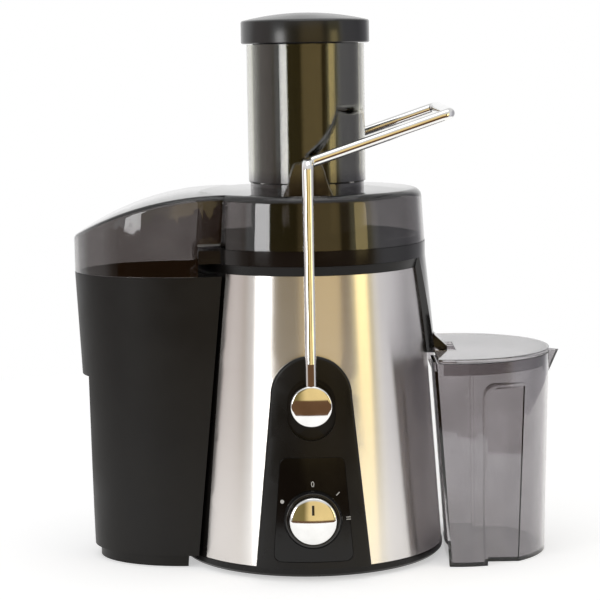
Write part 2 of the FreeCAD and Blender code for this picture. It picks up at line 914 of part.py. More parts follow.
def hood(shrink):
    """The hood's outer or inner form, under a barrel that rolls down to the left."""
    long = s.bin_long - shrink
    short = s.bin_short - shrink
    prism = oval_prism(
        (long, short, hood_low - shrink, s.bin_centre), (long, short, lid_top + 5, s.bin_centre)
    )
    barrel = cylinder_y(s.hood_sweep - shrink, -100, 100, -s.hood_bend, lid_top - s.hood_sweep)
    block = box(-s.hood_bend, 20, -100, 100, 100, lid_top - shrink)
    return common(prism, fuse(barrel, block))


hood_outer = rounded(cut(hood(0), box(-s.hood_step, 60, -100, 100, 0, lid_low)), 4.5, lambda e: (
    e.BoundBox.ZMin > hood_low.value + 16 and not along(e, V(0, 1, 0)) and e.BoundBox.XLength > 20
))
hood_inner = cut(hood(wall), turned([
    (0, hood_low - 20),
    (s.lid_radius - 0.2, hood_low - 20),
    (s.lid_radius - 0.2, lid_low),
    (s.lid_top_radius - 0.2, lid_top + 1),
    (0, lid_top + 1),
]))
window = box(-150, 0, -s.window_half, s.window_half, hood_low - 10, lid_top - 8)
window = common(window, cylinder(s.lid_radius + 2, 150, lid_top))
neck_top = lid_top + s.neck_height
tube = turned([
    (s.chute_radius - s.chute_wall, chute_reach),
    (s.chute_radius - 1, chute_reach),
    (s.chute_radius - s.neck_inset, lid_top - 5),
    (s.chute_radius - s.neck_inset, neck_top - 1),
    (s.chute_radius, neck_top),
    (s.chute_radius, chute_top),
    (s.chute_radius - s.chute_wall, chute_top),
])
shelf_top = elbow_height - s.rod_radius - s.seam
bell_back = arm_inner - s.rod_radius - 1


def lug():
    bell = padded("XZ_Plane", [
        (-s.lug_half_base, lid_top - 3),
        (s.lug_half_base, lid_top - 3),
        (s.lug_half_base - 4, lid_top + 6),
        (s.lug_half_top + 2.5, elbow_height - 6),
        (s.lug_half_top, elbow_height),
        (-s.lug_half_top, elbow_height),
        (-s.lug_half_top - 2.5, elbow_height - 6),
        (-s.lug_half_base + 4, lid_top + 6),
    ], 2.5)
    move(bell, 0, -bell_back + 1.25, 0)
    shelf = padded("XZ_Plane", [
        (-s.lug_half_top - 4, lid_top - 3),
        (s.lug_half_top + 4, lid_top - 3),
        (s.lug_half_top + 1, shelf_top - 2.6),
        (0, shelf_top),
        (-s.rod_radius - 0.5, shelf_top),
        (-s.rod_radius - 0.5, shelf_top + s.rod_radius),
        (-s.lug_half_top + 1, shelf_top + s.rod_radius),
    ], 9)
    move(shelf, 0, -bell_back - 4.4, 0)
    web = box(-1.5, 1.5, -bell_back + 1, -s.chute_radius + 1.5, lid_top - 2, lid_top + 10)
    return fuse(bell, shelf, web)


front_lug = lug()
rear_bell = doc.addObject("Part::Mirroring", "rear_lug")
rear_bell.Source = front_lug
rear_bell.Normal = V(0, 1, 0)
rim_space = cylinder(s.rim_radius + s.seam, s.bowl_floor, lid_low)
feed_bore = turned([
    (s.chute_radius - s.chute_wall, chute_reach - 1),
    (s.chute_radius - s.chute_wall, chute_top + 1),
    (0, chute_top + 1),
    (0, chute_reach - 1),
])
lid_shell = cut(fuse(round_outer, hood_outer), round_inner, hood_inner, window, rim_space)
node("lid", cut(fuse(lid_shell, tube, front_lug, rear_bell), feed_bore))

# Pusher and its cap
pusher_low = chute_reach + s.pusher_clear
pusher = turned([
    (0, pusher_low),
    (s.pusher_radius - 2, pusher_low),
    (s.pusher_radius, pusher_low + 2),
    (s.pusher_radius, cap_low),
    (s.pusher_radius - s.pusher_wall, cap_low),
    (s.pusher_radius - s.pusher_wall, pusher_low + s.pusher_wall),
    (0, pusher_low + s.pusher_wall),
])
node("pusher_tube", pusher)
cap_rim_top = cap_low + s.cap_rim
plug = s.pusher_radius - s.pusher_wall - 0.1
pusher_cap = turned([
    (0, cap_low - 8),
    (plug, cap_low - 8),
    (plug, cap_low + s.seat),
    (s.cap_radius - 0.8, cap_low + s.seat),
    (s.cap_radius, cap_low + 1),
    (s.cap_radius, cap_rim_top - 3),
    (s.cap_radius - 1, cap_rim_top - 0.9),
    (s.cap_radius - 3.2, cap_rim_top),
    (s.cap_radius * 0.72, cap_rim_top + s.cap_dome * 0.55),
    (s.cap_radius * 0.4, cap_rim_top + s.cap_dome * 0.9),
    (0, cap_rim_top + s.cap_dome),
])
node("pusher_cap", pusher_cap)


# Pulp bin: a tapered oval cup that hugs the body, with a finger grip at its outer end
def bin_form(shrink, low, high):
    drop = s.bin_long - s.bin_low_long
    narrow = s.bin_short - s.bin_low_short
    ends = []
    for height in (low, high):
        share = (bin_top - height) / (bin_top - s.plinth_height)
        ends.append((
            s.bin_long - drop * share - shrink,
            s.bin_short - narrow * share - shrink,
            height,
            s.bin_centre - 2 * share,
        ))
    grip = box(
        -250,
        -s.bin_centre - s.bin_long + 1.5 + s.bin_grip_depth + shrink,
        -s.bin_grip_half - shrink,
        s.bin_grip_half + shrink,
        -5,
        bin_grip_top + shrink,
    )
    return cut(oval_prism(*ends), frustum(-5, bin_top + 10, s.bin_gap + shrink), grip)


plinth_end = (
    s.bin_low_long - s.plinth_inset,
    s.bin_low_short - s.plinth_inset,
    0,
    s.bin_centre - 2,
)
plinth = cut(
    oval_prism(plinth_end, (*plinth_end[:2], s.plinth_height + 1, plinth_end[3])),
    frustum(-5, bin_top + 10, s.bin_gap + s.plinth_inset),
)
bin_outer = fuse(bin_form(0, s.plinth_height, bin_top), plinth)
node("pulp_bin", cut(bin_outer, bin_form(s.bin_wall, s.plinth_height + s.bin_wall, bin_top + 5)))


# Jug: a tapered round cup cut flat beside the body, with grips front and rear
def jug_radius(height):
    return s.jug_low_radius + (s.jug_radius - s.jug_low_radius) * (dim(height) / jug_height)


def jug_form(shrink, low, high):
    round_cup = shape(
        "Cone",
        Radius1=jug_radius(low) - shrink,
        Radius2=jug_radius(high) - shrink,
        Height=dim(high) - low,
    )
    move(round_cup, s.jug_centre, 0, low)
    slab = padded("XZ_Plane", [
        (cone(low, s.jug_gap) + shrink, low),
        (250, low),
        (250, high),
        (cone(high, s.jug_gap) + shrink, high),
    ], 200)
    tools = []
    for side in (-1, 1):
        tool = padded("XZ_Plane", [
            (s.grip_left - shrink, -10),
            (250, -10),
            (250, grip_top + shrink),
            (s.grip_left - shrink, grip_top + shrink),
        ], 60)
        tool = rounded(tool, s.grip_corner + shrink, lambda e: along(e, V(0, 1, 0)) and (
            e.Vertexes[0].Z > 50 and e.Vertexes[0].X < 200
        ))
        holder = group([tool])
        tools.append(move(holder, 0, (s.grip_depth_half - shrink + 30) * side, 0))
    return cut(common(round_cup, slab), *tools)


beak_top = jug_height
beak_root = s.jug_centre + s.jug_radius


def beak(shrink):
    """A pouring beak: a three-cornered form that narrows downwards into the wall."""
    rows = []
    for height, root, half, reach in (
        (beak_top + 0, -5.0, 12.0, s.beak_reach),
        (beak_top - 17, -3.0, 1.6, dim(-0.6)),
    ):
        tip = beak_root + reach - shrink * 1.6
        rows.append([
            V((beak_root + root).value, -half + shrink, height.value),
            V(tip.value, 0, height.value),
            V((beak_root + root).value, half - shrink, height.value),
        ])
    loft = doc.addObject("Part::Feature", "beak")
    loft.Shape = Part.makeLoft([Part.makePolygon(r + [r[0]]) for r in rows], True, True)
    return loft


jug_cut = jug_form(s.jug_wall, s.jug_wall + 0.5, jug_height + 5)
beak_hollow = beak(1.5)
rim_notch = box(
    s.bowl_radius, s.notch_right, -s.notch_half, s.notch_half, notch_floor, jug_height + 10
)
node("juice_jug", cut(fuse(jug_form(0, 0, jug_height), beak(0)), jug_cut, beak_hollow, rim_notch))

# Jug lid: plate and skirt with the spout's notch
lid_plate_low = jug_height + s.seam
lid_plate_top = lid_plate_low + s.jug_lid_thick
jug_plate = shape("Cylinder", Radius=s.jug_radius, Height=s.jug_lid_thick)
move(jug_plate, s.jug_centre, 0, lid_plate_low)
skirt_outer = jug_radius(jug_height - s.jug_lid_skirt) - s.jug_wall - 0.4
jug_skirt = ring(
    skirt_outer, skirt_outer - 1.8, jug_height - s.jug_lid_skirt, lid_plate_low + 0.5, s.jug_centre
)
plate_side = cone(jug_height - 12, s.jug_gap) + 1.5
lid_slab = box(plate_side, 250, -100, 100, lid_plate_low, lid_plate_top)
skirt_slab = box(plate_side + s.jug_wall + 2, 250, -100, 100, 100, lid_plate_top)
lid_notch = box(
    s.bowl_radius, s.notch_right, -s.notch_half, s.notch_half, jug_height - 30, lid_plate_top + 5
)
node("jug_lid", cut(fuse(common(jug_plate, lid_slab), common(jug_skirt, skirt_slab)), lid_notch))

# Filter basket: sieve, rim, grating disc and hub
sieve = turned([
    (s.basket_low_radius - s.basket_wall, basket_low + 2),
    (s.basket_low_radius, basket_low + 2),
    (s.basket_top_radius, basket_top - 4),
    (s.basket_top_radius - s.basket_wall, basket_top - 4),
])
slits = []
for i in range(24):
    slit = box(s.basket_low_radius - 10, s.basket_top_radius + 5, -1.2, 1.2, basket_low + 7, basket_top - 9)
    slits.append(around(slit, 15 * i))
node("filter_sieve", cut(sieve, *slits))
basket_rim = turned([
    (s.basket_top_radius - s.basket_wall - 2, basket_top - 4 + s.seat),
    (s.basket_top_radius + 2, basket_top - 4 + s.seat),
    (s.basket_top_radius + 4, basket_top),
    (s.basket_top_radius + 4, basket_top + 1.5),
    (s.basket_top_radius - s.basket_wall - 2, basket_top + 1.5),
])
node("basket_rim", basket_rim)
hub_in = s.coupling_radius + s.running_fit + 0.05
hub_wide = s.hub_radius + 1.0
basket_base = turned([
    (0, coupling_top + s.seam),
    (hub_in, coupling_top + s.seam),
    (hub_in, hub_top + 1.5),
    (hub_in + 2, hub_top + 1.5),
    (hub_in + 2, basket_low - 1.5),
    (hub_wide, basket_low - 1.5),
    (hub_wide, hub_top - 4),
    (hub_wide + 2, hub_top - 4),
    (hub_wide + 2, basket_low - 1.5),
    (s.basket_low_radius + 1, basket_low - 1.5),
    (s.basket_low_radius + 1, basket_low + 2 - s.seat),
    (0, basket_low + 2 - s.seat),
])
node("basket_base", basket_base)
grate_low = basket_low + 2
grate = ring(s.basket_low_radius - s.basket_wall - 0.2, 4, grate_low, grate_low + 0.8)
teeth = []
for row, (radius, count) in enumerate(((12, 8), (20, 12), (28, 16), (36, 20))):
    for i in range(count):
        angle = math.radians(360 * i / count + 9 * row)
        tooth = shape("Cone", Radius1=1.3, Radius2=0.3, Height=1.8)
        teeth.append(move(tooth, radius * math.cos(angle), radius * math.sin(angle), grate_low + 0.6))
node("grating_disc", fuse(grate, *teeth))

# Drive: coupling, shaft, armature, commutator and fan
coupling = turned([
    (s.shaft_radius + s.seat, deck_top + 2),
    (s.coupling_radius - 2, deck_top + 2),
    (s.coupling_radius - 2, s.bowl_floor + 6),
    (s.coupling_radius, s.bowl_floor + 6),
    (s.coupling_radius, coupling_top - 1),
    (s.coupling_radius - 1, coupling_top),
    (s.shaft_radius + s.seat, coupling_top),
])
node("drive_coupling", coupling)
node("motor_shaft", cylinder(s.shaft_radius, s.shaft_low, coupling_top - 1))
stack_top = s.stack_low + s.stack_height
armature = ring(s.armature_radius, s.shaft_radius + s.seat, s.stack_low, stack_top)
node("armature_core", armature)
end_turns = [
    ring(s.armature_radius - 2, s.shaft_radius + 2, s.stack_low - 7, s.stack_low - s.seat),
    ring(s.armature_radius - 2, s.shaft_radius + 2, stack_top + s.seat, stack_top + 7),
]
node("armature_winding", group(end_turns))
comm_radius = s.armature_radius * 0.55
node("commutator", ring(comm_radius, s.shaft_radius + s.seat, s.stack_low - 22, s.stack_low - 7 - s.seat))
fan_hub = ring(9, s.shaft_radius + s.seat, s.shaft_low + 1, s.lower_bracket - 3)
fan_disc = ring(s.fan_radius, 8, s.lower_bracket - 5, s.lower_bracket - 3)
blades = []
for i in range(12):
    blade = box(8.5, s.fan_radius - 1, -0.7, 0.7, s.shaft_low + 1, s.lower_bracket - 4)
    blades.append(around(blade, 30 * i))
node("cooling_fan", fuse(fan_hub, fan_disc, *blades))

# Stator, windings, brackets, bearings, brushes and mounts
stator = ring(s.stator_radius, s.armature_radius + s.air_gap, s.stack_low, stack_top)
node("stator_core", stator)
coil_in = s.armature_radius + 2
coil_out = s.stator_radius - 5
node("field_coils", group([
    ring(coil_out, coil_in, s.stack_low - 7, s.stack_low - s.seat),
    ring(coil_out, coil_in, stack_top + s.seat, stack_top + 7),
]))
bush_out = s.shaft_radius + 5
tie_low = s.lower_bracket + s.bracket_thick
upper = cut(
    fuse(
        ring(s.bracket_radius, bush_out + s.seat, s.upper_bracket, s.upper_bracket + s.bracket_thick),
        ring(s.bracket_radius, s.stator_radius - 3, stack_top + s.seat, s.upper_bracket + 1),
    ),
    *[cylinder(2.2, s.upper_bracket - 5, post_low, x, y) for x, y in spots(s.mount_circle)],
)
node("upper_motor_bracket", upper)
lower = fuse(
    ring(s.bracket_radius, bush_out + s.seat, s.lower_bracket, tie_low),
    ring(s.bracket_radius, s.stator_radius - 3, s.lower_bracket + 1, s.stack_low - s.seat),
)
brush_half = 3.5
brush_low = s.stack_low - 19
brush_high = s.stack_low - 10
brush_slip = 0.05
slot_half = brush_half + brush_slip
holder_hole = box(-60, 60, -brush_half - 2.05, brush_half + 2.05, brush_low - 2.05, brush_high + 2.05)
node("lower_motor_bracket", cut(lower, holder_hole))
bush_bore = s.shaft_radius + s.running_fit
node("upper_bearing", ring(bush_out, bush_bore, s.upper_bracket - 3, s.upper_bracket + 7))
node("lower_bearing", ring(bush_out, bush_bore, s.lower_bracket - 1, s.lower_bracket + 7))
holders = []
brushes = []
for side in (0, 180):
    holder = cut(
        box(16, s.bracket_radius + 2, -brush_half - 2, brush_half + 2, brush_low - 2, brush_high + 2),
        box(10, s.bracket_radius, -slot_half, slot_half, brush_low - brush_slip, brush_high + brush_slip),
    )
    brush = box(comm_radius + 0.1, s.bracket_radius - 8, -brush_half, brush_half, brush_low, brush_high)
    for made, piece in ((holders, holder), (brushes, brush)):
        made.append(around(piece, side))
node("brush_holders", group(holders))
node("carbon_brushes", group(brushes))
mount_low = s.upper_bracket + s.bracket_thick + s.seat
node("motor_mounts", group([
    ring(5.5, 2.2, mount_low, post_low - s.seat, x, y) for x, y in spots(s.mount_circle)
]))
bolts = []
for x, y in spots(s.mount_circle):
    bolt = turned([
        (0, s.upper_bracket - 3),
        (3.8, s.upper_bracket - 3),
        (3.8, s.upper_bracket - s.seat),
        (1.8, s.upper_bracket - s.seat),
        (1.8, post_low + 8),
        (0, post_low + 8.5),
    ])
    bolts.append(move(bolt, x, y, 0))
node("motor_screws", group(bolts))
node("shaft_seal", ring(s.deck_hole - s.seat, s.shaft_radius + s.running_fit, deck_low, deck_top + 1))

doc.recompute()
faults = [o.Label for o in doc.Objects if "Invalid" in o.State or "Error" in o.State]
faults += [o.Label for o in nodes if o.Shape.isNull() or not o.Shape.isValid() or not o.Shape.Solids]
if faults:
    raise RuntimeError("pieces that failed: " + ", ".join(faults))
os.makedirs("parts", exist_ok=True)
for piece in nodes:
    piece.Shape.exportStep(os.path.join("parts", f"{piece.Label}.step"))
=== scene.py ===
import json
import math

import bmesh
import bpy
from mathutils import Matrix, Vector


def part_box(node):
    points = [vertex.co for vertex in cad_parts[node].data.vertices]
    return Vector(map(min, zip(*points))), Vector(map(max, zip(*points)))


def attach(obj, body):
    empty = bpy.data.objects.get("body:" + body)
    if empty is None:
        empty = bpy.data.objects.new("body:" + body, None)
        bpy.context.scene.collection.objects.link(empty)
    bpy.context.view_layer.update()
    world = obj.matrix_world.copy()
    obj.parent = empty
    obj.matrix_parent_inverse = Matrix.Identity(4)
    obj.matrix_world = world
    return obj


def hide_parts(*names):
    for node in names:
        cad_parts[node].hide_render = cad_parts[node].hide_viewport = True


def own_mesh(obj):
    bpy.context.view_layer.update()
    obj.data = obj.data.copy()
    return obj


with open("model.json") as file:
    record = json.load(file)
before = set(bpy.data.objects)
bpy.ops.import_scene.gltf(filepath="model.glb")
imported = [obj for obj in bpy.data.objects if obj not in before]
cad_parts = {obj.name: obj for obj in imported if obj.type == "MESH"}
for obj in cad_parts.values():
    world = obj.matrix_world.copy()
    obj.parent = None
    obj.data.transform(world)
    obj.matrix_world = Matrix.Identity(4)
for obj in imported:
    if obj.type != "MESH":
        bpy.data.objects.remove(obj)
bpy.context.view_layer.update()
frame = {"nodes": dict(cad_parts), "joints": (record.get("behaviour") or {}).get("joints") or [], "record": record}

nodes = frame["nodes"]
body_of_node = {
    node: body
    for body, members in frame["record"]["behaviour"]["bodies"].items()
    for node in members
}
joint_of_name = {joint["name"]: joint for joint in frame["joints"]}
mm = 0.001

# The sockets of a Mix node that mixes two colours.
mix_share = 0
mix_first = 6
mix_second = 7
mix_result = 2


def linear(text):
    """An sRGB hex colour as the linear colour that a socket takes."""
    parts = [int(text[i:i + 2], 16) / 255 for i in (1, 3, 5)]
    return tuple(
        p / 12.92 if p <= 0.04045 else ((p + 0.055) / 1.055) ** 2.4 for p in parts
    ) + (1.0,)


def add(tree, kind, values=None, links=None, **settings):
    """A node with its settings, its socket values and its links."""
    made = tree.nodes.new(kind)
    for name, value in settings.items():
        setattr(made, name, value)
    for socket, value in (values or {}).items():
        made.inputs[socket].default_value = value
    for socket, source in (links or {}).items():
        tree.links.new(source, made.inputs[socket])
    return made


def blank(name):
    """A new material and its empty node tree."""
    made = bpy.data.materials.new(name)
    made.use_nodes = True
    made.node_tree.nodes.clear()
    return made, made.node_tree


def set_stops(ramp, stops):
    """Gives a colour ramp its stops, from pairs of a place and a hex colour."""
    while len(ramp.elements) > 1:
        ramp.elements.remove(ramp.elements[-1])
    for i, (place, colour) in enumerate(stops):
        stop = ramp.elements[0] if i == 0 else ramp.elements.new(place)
        stop.position = place
        stop.color = linear(colour)


def moulded(name, dark, pale, rough, grit_mm, depth, shine=0.36):
    """A moulded, pressed or printed surface: plastic, rubber, carbon or ink. Its grain breaks the
    light into a soft sheen, and the pigment and the rubbed places vary a little over a few
    centimetres. A real grain is about 0.15 mm, too fine to show, so it is drawn 0.5 to 1.2 mm
    wide. A polished face has no grain but slow waves, some millimetres long."""
    patch = 35.0 * mm
    made, tree = blank(name)
    place = add(tree, "ShaderNodeTexCoord").outputs["Object"]
    patches = add(
        tree, "ShaderNodeTexNoise", {"Scale": 1 / patch, "Detail": 3.0}, {"Vector": place}
    )
    tone = add(tree, "ShaderNodeValToRGB", links={"Fac": patches.outputs["Fac"]})
    set_stops(tone.color_ramp, [(0.3, dark), (0.72, pale)])
    sheen = add(
        tree, "ShaderNodeMapRange",
        {"From Min": 0.3, "From Max": 0.7, "To Min": rough - 0.05, "To Max": rough + 0.06},
        {"Value": patches.outputs["Fac"]},
    )
    grit = add(
        tree, "ShaderNodeTexNoise", {"Scale": 1 / (grit_mm * mm), "Detail": 2.0}, {"Vector": place}
    )
    relief = add(
        tree, "ShaderNodeBump", {"Strength": depth, "Distance": 0.1 * mm},
        {"Height": grit.outputs["Fac"]},
    )
    surface = add(
        tree, "ShaderNodeBsdfPrincipled", {"IOR": 1.53, "Specular IOR Level": shine},
        {"Base Color": tone.outputs["Color"], "Roughness": sheen.outputs["Result"],
         "Normal": relief.outputs["Normal"]},
    )
    add(tree, "ShaderNodeOutputMaterial", links={"Surface": surface.outputs["BSDF"]})
    return made


def brushed_stainless(name):
    """Stainless sheet brushed round the body. The scratches run level, so a reflection is smeared
    up and down into long upright bands. Real scratches are about 0.05 mm apart, too fine to show,
    so the streaks are drawn 0.5 mm high and 90 mm long."""
    streak_length = 90 * mm
    streak_height = 0.5 * mm
    made, tree = blank(name)
    place = add(tree, "ShaderNodeTexCoord").outputs["Object"]
    drawn_out = add(
        tree, "ShaderNodeMapping",
        {"Scale": (1 / streak_length, 1 / streak_length, 1 / streak_height)}, {"Vector": place},
    )
    streaks = add(
        tree, "ShaderNodeTexNoise", {"Scale": 1.0, "Detail": 4.0, "Roughness": 0.65},
        {"Vector": drawn_out.outputs["Vector"]},
    )
    tone = add(tree, "ShaderNodeValToRGB", links={"Fac": streaks.outputs["Fac"]})
    set_stops(tone.color_ramp, [(0.3, "#DEDAD7"), (0.7, "#E2DFDC")])
    sheen = add(
        tree, "ShaderNodeMapRange",
        {"From Min": 0.3, "From Max": 0.7, "To Min": 0.252, "To Max": 0.268},
        {"Value": streaks.outputs["Fac"]},
    )
    relief = add(
        tree, "ShaderNodeBump", {"Strength": 0.002, "Distance": 0.05 * mm},
        {"Height": streaks.outputs["Fac"]},
    )
    surface = add(
        tree, "ShaderNodeBsdfPrincipled",
        {"Metallic": 1.0, "Anisotropic": 0.92, "Anisotropic Rotation": 0.25},
        {"Base Color": tone.outputs["Color"], "Roughness": sheen.outputs["Result"],
         "Normal": relief.outputs["Normal"]},
    )
    add(tree, "ShaderNodeOutputMaterial", links={"Surface": surface.outputs["BSDF"]})
    return made


def plain_metal(name, dark, pale, rough, grain_mm, depth):
    """Turned, plated or rolled metal. Handling and the tool leave faint smears, which show as
    small changes in how sharp a reflection is."""
    made, tree = blank(name)
    place = add(tree, "ShaderNodeTexCoord").outputs["Object"]
    smear = add(
        tree, "ShaderNodeTexNoise", {"Scale": 1 / (grain_mm * mm), "Detail": 3.0}, {"Vector": place}
    )
    tone = add(tree, "ShaderNodeValToRGB", links={"Fac": smear.outputs["Fac"]})
    set_stops(tone.color_ramp, [(0.3, dark), (0.7, pale)])
    sheen = add(
        tree, "ShaderNodeMapRange",
        {"From Min": 0.3, "From Max": 0.75, "To Min": rough * 0.75, "To Max": rough * 1.4},
        {"Value": smear.outputs["Fac"]},
    )
    relief = add(
        tree, "ShaderNodeBump", {"Strength": depth, "Distance": 0.05 * mm},
        {"Height": smear.outputs["Fac"]},
    )
    surface = add(
        tree, "ShaderNodeBsdfPrincipled", {"Metallic": 1.0},
        {"Base Color": tone.outputs["Color"], "Roughness": sheen.outputs["Result"],
         "Normal": relief.outputs["Normal"]},
    )
    add(tree, "ShaderNodeOutputMaterial", links={"Surface": surface.outputs["BSDF"]})
    return made


def smoked_plastic(name, dark, pale, rough, wave_mm, depth, paler_above=None):
    """Clear moulding tinted with smoke. Each wall takes its share of the light, so two walls look
    darker than one, and slow waves in the moulded faces bend the reflections a little. Above the
    height paler_above the tint is paler."""
    pale_tint = "#CFCEC5"
    fade_half = 4 * mm
    made, tree = blank(name)
    place = add(tree, "ShaderNodeTexCoord").outputs["Object"]
    waves = add(
        tree, "ShaderNodeTexNoise", {"Scale": 1 / (wave_mm * mm), "Detail": 1.0}, {"Vector": place}
    )
    tint = add(tree, "ShaderNodeValToRGB", links={"Fac": waves.outputs["Fac"]})
    set_stops(tint.color_ramp, [(0.3, dark), (0.7, pale)])
    wall = tint.outputs["Color"]
    if paler_above:
        height = add(tree, "ShaderNodeSeparateXYZ", links={0: place}).outputs["Z"]
        fade = add(
            tree, "ShaderNodeMapRange",
            {"From Min": paler_above - fade_half, "From Max": paler_above + fade_half},
            {"Value": height},
        )
        wall = add(
            tree, "ShaderNodeMix", {mix_second: linear(pale_tint)},
            {mix_share: fade.outputs["Result"], mix_first: wall}, data_type="RGBA",
        ).outputs[mix_result]
    relief = add(
        tree, "ShaderNodeBump", {"Strength": depth, "Distance": 0.3 * mm},
        {"Height": waves.outputs["Fac"]},
    )
    surface = add(
        tree, "ShaderNodeBsdfPrincipled",
        {"IOR": 1.56, "Transmission Weight": 1.0, "Roughness": rough},
        {"Base Color": wall, "Normal": relief.outputs["Normal"]},
    )
    add(tree, "ShaderNodeOutputMaterial", links={"Surface": surface.outputs["BSDF"]})
    return made


# The housing's fine grain gives an even black with a soft sheen at the edges.
satin_black = moulded(
    "satin_black_abs", "#0D0B0A", "#131110", rough=0.29, grit_mm=0.7, depth=0.08, shine=0.24
)
# The pusher's cap is smoother, so that its dome shows the room as a soft gradient.
cap_black = moulded(
    "glossed_black_abs", "#100F0F", "#161515", rough=0.2, grit_mm=3.0, depth=0.01, shine=0.5
)
# The pulp bin's coarser grain scatters the light, and it looks dull.
matte_black = moulded(
    "eroded_black_abs", "#0E0C0B", "#151311", rough=0.46, grit_mm=0.9, depth=0.20, shine=0.24
)
# A polished tool leaves clear reflections that waver a little.
gloss_black = moulded(
    "polished_black_abs", "#0D0C0C", "#121111", rough=0.10, grit_mm=6.0, depth=0.02, shine=0.5
)
# The dial's acrylic is the deepest black, with faint sharp reflections.
dial_gloss = moulded(
    "dial_plate_acrylic", "#0A0908", "#0E0C0B", rough=0.08, grit_mm=8.0, depth=0.01, shine=0.26
)
# Level brushing draws each reflection out into an upright band.
stainless = brushed_stainless("brushed_stainless_sheet")
# Chrome mirrors the room sharply.
chrome = plain_metal("chrome_plate", "#E2E2E1", "#EDEDEC", rough=0.045, grain_mm=9.0, depth=0.004)
# The lid is a middling smoke, paler in the feed tube, so that the pusher shows through it.
feed_tube_foot = 266.0 * mm
smoked_lid = smoked_plastic(
    "smoked_lid_san", "#8E8B8B", "#9A9797", rough=0.03, wave_mm=26.0, depth=0.05,
    paler_above=feed_tube_foot,
)
# The pusher is a deep smoke that looks nearly black.
smoked_pusher = smoked_plastic(
    "dark_smoked_san", "#191617", "#211D1E", rough=0.03, wave_mm=22.0, depth=0.05
)
# The jug is the palest smoke, and its walls show through one another.
smoked_jug = smoked_plastic(
    "smoked_jug_san", "#B6B3B5", "#C0BDBF", rough=0.04, wave_mm=24.0, depth=0.06
)
# The lugs' rounded rim gets a much paler smoke than the lid it belongs to, a painted highlight that shows as a
# bright line.
highlight_rim = smoked_plastic(
    "painted_highlight_rim", "#E4E4E2", "#EEEEEC", rough=0.05, wave_mm=9.0, depth=0.05
)
# Rubber is a dull dark grey with no clear highlight.
rubber = moulded("foot_rubber", "#181818", "#222121", rough=0.72, grit_mm=1.2, depth=0.3)
# Nylon has a waxy look, between dull and glossy.
nylon = moulded("grey_nylon", "#6E6E70", "#7C7C7E", rough=0.5, grit_mm=1.0, depth=0.15)
# Phenolic moulding is a dark brown, faintly mottled.
phenolic = moulded("brown_phenolic", "#2A1D15", "#35251B", rough=0.4, grit_mm=1.0, depth=0.15)
# Pressed carbon is a dull black with a grey cast.
carbon = moulded("pressed_carbon", "#16161A", "#1E1E21", rough=0.6, grit_mm=0.8, depth=0.25)
# The sieve's etched holes are about 0.5 mm wide. They are drawn 2 mm wide, as a shimmer.
punched_steel = plain_metal(
    "etched_stainless", "#B4B4B3", "#C8C8C6", rough=0.22, grain_mm=2.0, depth=0.08
)
# The motor's sheets are about 0.5 mm thick. Their edges are drawn 1 mm wide, as a dull grain.
core_steel = plain_metal(
    "laminated_steel", "#5A5B5E", "#6C6D70", rough=0.42, grain_mm=1.0, depth=0.3
)
# Zinc plating is a soft grey that blurs what it mirrors.
bracket_steel = plain_metal(
    "zinc_plated_steel", "#9A9CA0", "#B2B4B6", rough=0.3, grain_mm=14.0, depth=0.05
)
# The enamelled wire is about 0.4 mm thick. It is drawn 0.9 mm wide, as a glinting grain.
copper = plain_metal(
    "enamelled_copper", "#9C5B2E", "#B8743C", rough=0.28, grain_mm=0.9, depth=0.4
)
# Drawn wire has a grey polish with a narrow highlight.
spring_steel = plain_metal(
    "spring_wire", "#8B8C90", "#A2A3A6", rough=0.25, grain_mm=3.0, depth=0.05
)

finish_of_node = {
    "base_plate": satin_black, "rubber_feet": rubber, "base_screws": bracket_steel,
    "body_housing": satin_black, "front_steel_skin": stainless, "rear_steel_skin": stainless,
    "front_panel": satin_black, "rear_panel": satin_black, "dial_plate": dial_gloss,
    "knob_skirt": gloss_black, "knob_cap": chrome, "knob_stem": nylon, "rotary_switch": phenolic,
    "cord_gland": rubber, "rear_latch_carriage": nylon, "front_latch_carriage": nylon,
    "rear_latch_spring": spring_steel, "front_latch_spring": spring_steel,
    "rear_pivot_disc": chrome, "front_pivot_disc": chrome, "pivot_clips": spring_steel,
    "locking_arm": chrome, "interlock_switch": phenolic, "juice_bowl": gloss_black,
    "lid": smoked_lid, "pusher_tube": smoked_pusher, "pusher_cap": cap_black,
    "pulp_bin": matte_black, "juice_jug": smoked_jug, "jug_lid": smoked_jug,
    "filter_sieve": punched_steel, "basket_rim": gloss_black, "basket_base": gloss_black,
    "grating_disc": punched_steel, "drive_coupling": nylon, "motor_shaft": bracket_steel,
    "armature_core": core_steel, "armature_winding": copper, "commutator": copper,
    "cooling_fan": nylon, "stator_core": core_steel, "field_coils": copper,
    "upper_motor_bracket": bracket_steel, "lower_motor_bracket": bracket_steel,
    "upper_bearing": bracket_steel, "lower_bearing": bracket_steel, "brush_holders": phenolic,
    "carbon_brushes": carbon, "motor_mounts": rubber, "motor_screws": bracket_steel,
    "shaft_seal": rubber,
}
# The nodes that get smooth curved faces, with the rounding of their edges. 0 leaves them sharp.
edge_round_mm = {
    "base_plate": 0.8, "body_housing": 0.6, "front_steel_skin": 0.0, "rear_steel_skin": 0.0,
    "front_panel": 2.2, "rear_panel": 2.2, "dial_plate": 0.5, "knob_skirt": 0.6,
    "locking_arm": 0.0, "juice_bowl": 0.5, "lid": 0.9, "pusher_tube": 0.4, "pulp_bin": 0.8,
    "juice_jug": 0.6, "jug_lid": 0.5, "rubber_feet": 0.5, "cord_gland": 0.5,
}


def new_piece(name, shape, finish, body):
    """A bmesh as a piece that moves with a body and takes the finish that it is given."""
    mesh = bpy.data.meshes.new(name)
    shape.to_mesh(mesh)
    shape.free()
    made = bpy.data.objects.new(name, mesh)
    made.data.materials.append(finish)
    bpy.context.scene.collection.objects.link(made)
    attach(made, body)
    return made


